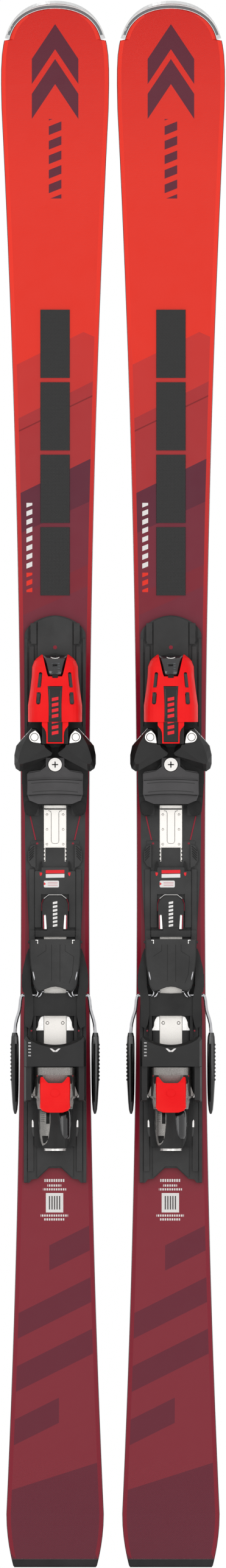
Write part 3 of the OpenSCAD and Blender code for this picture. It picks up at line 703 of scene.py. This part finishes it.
def label_details(b):
    """Plain labels: bars and a tag without any writing."""
    rail = "binding_rails"
    b.inked("label_bar_red", "ski", "bright_mark", slanted(-9.6, 9.6, 715.7, 719.1, 0.3), rail)
    b.inked("label_bar_white", "ski", "white_print_and_highlight", slanted(-9.6, 9.6, 711.2, 715, 0.3), rail)
    b.inked("label_tag", "ski", "white_print_and_highlight", rounded_box(-11.6, 4, 701.3, 708.3, 1.2), rail)
    b.inked("label_point", "ski", "bright_mark", [(-11.5, 703.4), (-9.4, 705), (-11.5, 706.8)], rail, 0.2)
    for k, y in enumerate((703.4, 705, 706.6)):
        b.drawn(f"label_line_{k}", "ski", "pale_red", [(-7.6, y), (2.6, y)], 0.25, rail, 0.2)


def lock_details(b):
    """Bright rims beside the lock lever, and the plain dashes on it."""
    low, high = 28, 30.4
    white_rim = [(-11.6, 689.9), (-6.6, 693.7), (6.6, 693.7), (11.6, 689.9)]
    b.line("lever_edge_white", "ski", "white_print_and_highlight", white_rim, 0.32, low, high)
    red_rim = [(12, 689.4), (13.75, 685), (13.75, 677)]
    b.both(b.line, "lever_edge_red", "ski", "crimson", red_rim, 0.28, low, high)
    tongue = "lock_lever"
    white_slot = [(8.7, 658.4), (11, 658.4), (11.4, 672), (10.4, 673.2), (9.6, 672.2)]
    b.both(b.inked, "lever_slot_white", "lock", "white_metal", white_slot, tongue)
    red_slot = [(11.2, 658.4), (12.4, 658.4), (12.4, 673), (11.6, 673)]
    b.both(b.inked, "lever_slot_red", "lock", "crimson", red_slot, tongue)
    for k in range(7):
        y = 660.5 + 3.9 * k
        b.inked(f"lever_dash_{k}", "lock", "white_print_and_highlight", slanted(-2.3, 2.3, y, y + 2.3, 0.9), tongue)
    tray_mark = [(12.4, 650.6), (14, 650.6), (14, 651.8), (12.4, 651.8)]
    b.both(b.inked, "tray_mark", "ski", "crimson", tray_mark, "binding_rails")


# ---- the toe unit ----

WINDOW_END = 919.6


def window_details(b):
    """Smoky release window in the cover, with a plain scale behind it."""
    rows = [(940.4, 12.2, 50.6), (936, 11, 54.4), (931, 9.6, 58), (925, 8.2, 61.4), (WINDOW_END, 6.9, 64)]
    across, bulge, thick = 8, 1.2, 1.2
    top = []
    for y, half, z in rows:
        for k in range(across + 1):
            u = 2 * k / across - 1
            top.append((half * u, y, z - bulge * u * u))
    b.skin("toe_window", "toe", "smoked_plastic", top, across, thick)
    for k in range(5):
        y = 921.6 + 2.6 * k
        z = 63.3 - (y - WINDOW_END) * 0.56
        b.line(f"toe_scale_{k}", "toe", "scale_grey", [(-3.6, y), (4.8, y + 0.4)], 0.3, z - 0.6, z + 0.75)
    b.flat("toe_slot", "toe", "gap_black", slanted(-2.6, 2.4, 930.2, 931.8, 0.2), 57, 59.2)
    b.flat("toe_tab", "toe", "gap_black", rounded_box(-3, 3, 917.4, 921.6, 0.8), 63, 66.6)
    arc = [(-4.4, 938.8, 52.2), (-3, 938, 52.6), (0, 937.6, 52.8), (3, 938, 52.6), (4.4, 938.8, 52.2)]
    b.wire("toe_arc", "toe", "white_metal", arc, 0.45)


def inlay_details(b):
    """Dark inlay down the middle of the cover, with plain dashes."""
    front = [(909, -7.6, 7.6), (905, -7.3, 7.3), (898, -6.9, 6.9), (890, -6.6, 6.6), (880, -6.6, 6.6),
             (872.2, -6.8, 6.8)]
    b.draped("toe_inlay", "toe", "gloss_black", front, "toe_cover", 0.3)
    rear, rear_top = [(-7.1, 872.6), (-7.5, 851.4), (7.5, 851.4), (7.1, 872.6)], 74
    b.flat("toe_inlay_rear", "toe", "gloss_black", rear, 70.4, rear_top)
    for k in range(7):
        y = 858.5 + 5.8 * k
        rise = b.height("toe_cover", 0, y + 1.6) if y > 873 else rear_top
        dash = slanted(-3.4, 3.4, y, y + 3.4, 1.4)
        b.flat(f"toe_dash_{k}", "toe", "bright_mark", dash, rise - 0.6, rise + 0.75)


def pin_details(b):
    """A dark ring around the middle of each wing pin."""
    pin_x, pin_y, pin_z, radius, steps = 21.3, 856.4, 68.25, 3.9, 24
    for side, sign in (("right", 1), ("left", -1)):
        ring = round_outline(sign * pin_x, pin_y, radius, steps)
        points = [(x, y, pin_z) for x, y in ring + ring[:1]]
        b.wire(f"pin_ring_{side}", "toe", "gap_black", points, 0.32, sides=6)


def vent_details(b):
    """Dark bars that fill the cover's four slots."""
    upper = (14.9, 922.3, 0.11, 1.8, (922, 919, 916, 913, 910, 907.6))
    lower = (16.8, 902.8, 0.06, 2.1, (902.6, 900, 897, 894, 890.6))
    for side, sign in (("right", 1), ("left", -1)):
        for name, (x, start, lean, half, places) in (("upper", upper), ("lower", lower)):
            middles = [(y, sign * (x + lean * (start - y))) for y in places]
            rows = [(y, middle - half, middle + half) for y, middle in middles]
            b.draped(f"vent_{name}_{side}", "toe", "rail_plastic", rows, "toe_cover", 0.25, across=4)


def pad_details(b):
    """Curved ridges and seams of the anti-friction plate, its screw's cross and the feet behind it."""
    pad = "afd_plate"
    steps, bow = 6, 1.4
    ridges = ((811.4, 28, "gap_black"), (808.6, 24.6, "pad_dark"), (799.6, 23.6, "pad_dark"),
              (796.2, 27, "gap_black"))
    for k, (y, half, finish) in enumerate(ridges):
        points = [(half * u / steps, y + bow * (1 - (u / steps) ** 2)) for u in range(-steps, steps + 1)]
        b.drawn(f"pad_ridge_{k}", "afd", finish, points, 0.4, pad, 0.06)
    seam = [(9.9, 829), (12.6, 825.4), (15.4, 821.6), (27.6, 819.2)]
    b.both(b.drawn, "pad_seam", "afd", "gap_black", seam, 0.3, pad)
    screw = "afd_screw"
    b.drawn("screw_bar", "afd_adjuster", "gap_black", [(-3, 828), (3, 828)], 0.5, screw, 1.1)
    b.drawn("screw_post", "afd_adjuster", "gap_black", [(0, 825), (0, 831)], 0.5, screw, 1.1)
    foot = [(18.6, 788.6), (16.6, 785.4), (19.6, 777.4), (21, 776), (28, 776.2), (30.6, 779.8),
            (31.2, 787.6), (29, 790)]
    b.both(b.inked, "toe_foot", "toe", "gap_black", foot, "toe_base", 0.3)


def strap_details(b):
    """Raised middle of the steel band, and the gap at its front end."""
    band = "steel_band"
    b.drawn("band_gap", "ski", "gap_black", [(-11.3, 782.2), (11.3, 782.2)], 0.65, band)
    edge = [(7, 780.6), (4.6, 779.8), (3.9, 778), (3.9, 749), (2.9, 747), (0, 746.6)]
    b.both(b.drawn, "band_edge", "ski", "tick_grey", edge, 0.22, band)


# ---- the heel unit ----

def band_details(b):
    """Steel ends beside the band and a red spot beside them, moving with the heel."""
    foot = [(11.9, 553.8), (19.2, 553.8), (19.2, 555.4), (18.2, 556.5), (17.4, 558.8), (17.1, 562.4),
            (15.9, 565.3), (14.4, 567.7), (11.9, 568.4)]
    b.both(b.flat, "steel_foot", "heel", "white_metal", foot, 27.4, 28.2)
    b.both(b.flat, "foot_mark", "heel", "crimson", round_outline(24.4, 553.4, 0.9, 10), 38, 39.6)


def rocker_details(b):
    """Painted shade in the pockets at the rocker's front corners, and red dots there."""
    rocker = "heel_housing"
    pocket = [(12.6, 507.4), (18, 507.4), (18, 500.4), (17, 498.6), (13.6, 499.4)]
    # A black patch in each pocket: painted shade.
    b.both(b.inked, "rocker_pocket", "heel_cup", "gap_black", pocket, rocker, 0.05)
    b.both(b.inked, "rocker_dot", "heel_cup", "bright_mark", round_outline(18.2, 506.8, 0.6, 10), rocker, 0.3)


def boss_details(b):
    """Low round boss on the step-out lever, tilted with its surface."""
    rings = [(5.6, 0), (5.2, 0.7), (4, 1.3), (2, 1.6)]
    middle, steps, squeeze, tilt = 489.6, 16, 0.95, 0.33
    base = b.height("heel_lever", 0, middle) - 0.6
    verts = []
    for radius, rise in rings:
        circle = round_outline(0, 0, radius, steps)
        verts += [(x, middle + squeeze * y, base + rise - tilt * y) for x, y in circle]
    faces = ring_faces(len(rings), steps)
    b.add("lever_boss", "heel_step_lever", "red_plastic", verts, faces, smooth=True)


def pedal_details(b):
    """Bright tabs and fine grooves of the pedal."""
    top = 48
    tabs = {"pedal_tab": (645.5, 647.2), "pedal_tab_low": (643.4, 644.9)}
    for name, (y0, y1) in tabs.items():
        outline = [(17.6, y0), (20.2, y0), (20.2, y1), (17.6, y1)]
        b.both(b.flat, name, "pedal", "white_metal", outline, top - 1, top + 0.02)
    grooves = ([(-3.6, 642.4), (-3.6, 605)], [(5, 642.4), (5, 604)],
               [(-9.4, 642.4), (-9.4, 636), (-18.4, 630)],
               [(10.4, 642.4), (10.4, 635.6), (19.2, 630), (18, 612), (14.4, 602.4)])
    for k, points in enumerate(grooves):
        b.drawn(f"pedal_groove_{k}", "pedal", "gap_black", points, 0.22, "brake_pedal", 0.05)


def wire_details(b):
    """Bright ends of the brake's wires beside and behind the pedal."""
    beside, behind = 47.6, 41
    runs = {"side": (beside, [(22.7, 614.4), (21.9, 610), (20.9, 605.6)]),
            "low": (behind, [(20.7, 601.6), (19.6, 597.4), (18.4, 594.6)]),
            "hook": (behind, [(18.2, 595), (17.6, 592.6), (18.4, 590.2), (19.8, 588.8)]),
            "curl": (behind, [(13.6, 594.2), (14.2, 591.4), (15.6, 589.2), (17.4, 588.2)]),
            "end": (behind, [(13.6, 593.8), (10.8, 593.8)])}
    for name, (z, points) in runs.items():
        for side, sign in (("right", 1), ("left", -1)):
            path = [(sign * x, y, z) for x, y in points]
            b.wire(f"wire_{name}_{side}", "pedal", "wire_chrome", path, 0.75)


def jaw_details(b):
    """Plain chevron and dashes on the jaw."""
    for k, sign in enumerate((1, -1)):
        rows = [(535.2 - 1.2 * i, sign * (5.6 - 1.2 * i), sign * max(0.01, 3.4 - 1.7 * i)) for i in range(4)]
        b.draped(f"jaw_chevron_{k}", "heel_cup", "white_print_and_highlight", rows, "heel_jaw", 0.1, across=2)
    for k in range(5):
        y = 527 + 3.3 * k
        rows = [(y, -27.6, -24.8), (y + 1.5, -27.8, -25)]
        b.draped(f"jaw_dash_{k}", "heel_cup", "pale_grey", rows, "heel_jaw", 0.1, across=2)


def flank_details(b):
    """Grey left flank and smoky right cover of the rear housing, and the clips beside it."""
    base = "heel_base"
    flank = [(473, -17.5, -5), (466, -17.2, -4.6), (458, -16.9, -4.8), (450, -16.2, -5.6), (444, -15.4, -6.4),
             (438, -14.2, -8.4), (435, -13.2, -11.6)]
    b.draped("heel_flank", "heel", "cast_metal", flank, base, 0.35, 0.8)
    # A black patch in the opening under the flank: painted shade.
    opening = [(445, -13.4, -7), (441, -13, -7.4), (437.4, -12.4, -10.4)]
    b.draped("flank_opening_shade", "heel", "gap_black", opening, base, 0.5, across=4)
    slot = [(470, -9.2, -5.6), (457.4, -9.2, -5.6)]
    b.draped("flank_slot", "heel", "gap_black", slot, base, 0.5, across=4)
    for k in range(6):
        y = 459.4 + 2 * k
        tick = [(y, -14.8, -11), (y + 0.6, -14.8, -11)]
        b.draped(f"flank_tick_{k}", "heel", "tick_grey", tick, base, 0.5, across=2)
    smoke = [(473, 4.4, 17.4), (462, 4.6, 17.2), (452, 5.4, 16.6), (446, 7, 15.8), (442, 9.6, 14.6)]
    b.draped("smoky_cover", "heel", "smoked_plastic", smoke, base, 0.5, 0.6)
    clip = [(21.9, 454), (23.9, 454), (23.9, 460.4), (23.2, 461.8), (22, 459)]
    b.both(b.flat, "rail_clip", "heel", "white_metal", clip, 27.3, 29.4)
    bump = [(20.8, 444.4), (22.8, 444.4), (24, 450), (24, 453.6), (21.6, 453.6)]
    b.both(b.flat, "rail_bump", "heel", "pad_light", bump, 27.3, 29)


# ---- the tip ----

def guard_line(offset, steps=24):
    """The tip guard's inner edge from side to side, moved outwards by this much."""
    start, nose, reach, bend = 1576, 1608.3, 48.8, 1560
    edge = []
    for k in range(steps + 1):
        turn = math.pi * (0.5 - k / steps)
        y = start + (nose - start) * math.cos(turn)
        half = reach * max(0, 1 - ((y - bend) / (nose - bend)) ** 2.6) ** (1 / 2.2)
        edge.append((math.copysign(half, turn), y))
    return strip(edge, offset)[steps + 1:][::-1]


def tip_details(b):
    """Grey and white inner bands of the metal tip guard: painted shade on its inner slope and a painted
    highlight along its ridge.
    """
    above, below = 0.4, 0.3
    # The grey band is painted shade on the guard's inner slope, and the white band is a painted highlight
    # along its ridge.
    for name, finish, inner, outer in (("grey", "guard_grey", 0.2, 3), ("white", "white_print_and_highlight", 3, 4)):
        verts = []
        for p, q in zip(guard_line(inner), guard_line(outer)):
            heights = [b.height("tip_guard", *p), b.height("tip_guard", *q)]
            found = [h for h in heights if h is not None]
            if not found:
                continue
            low, high = [max(found) if h is None else h for h in heights]
            verts += [(*p, low + above), (*q, high + above), (*q, high - below), (*p, low - below)]
        corners = 4
        b.add(f"guard_{name}", "ski", finish, verts, ring_faces(len(verts) // corners, corners))


DETAILS = (rail_details, label_details, lock_details, window_details, inlay_details, pin_details,
           vent_details, pad_details, strap_details, rocker_details, boss_details, tip_details,
           band_details, pedal_details, wire_details, jaw_details, flank_details)


def small_pieces(finishes):
    """Every small piece, on both skis."""
    for ski in SKIS:
        bench = Bench(ski, finishes)
        for details in DETAILS:
            details(bench)


# ---- the scene ----

make_camera()
small_pieces(dress_frame())
make_floor()
make_lights()
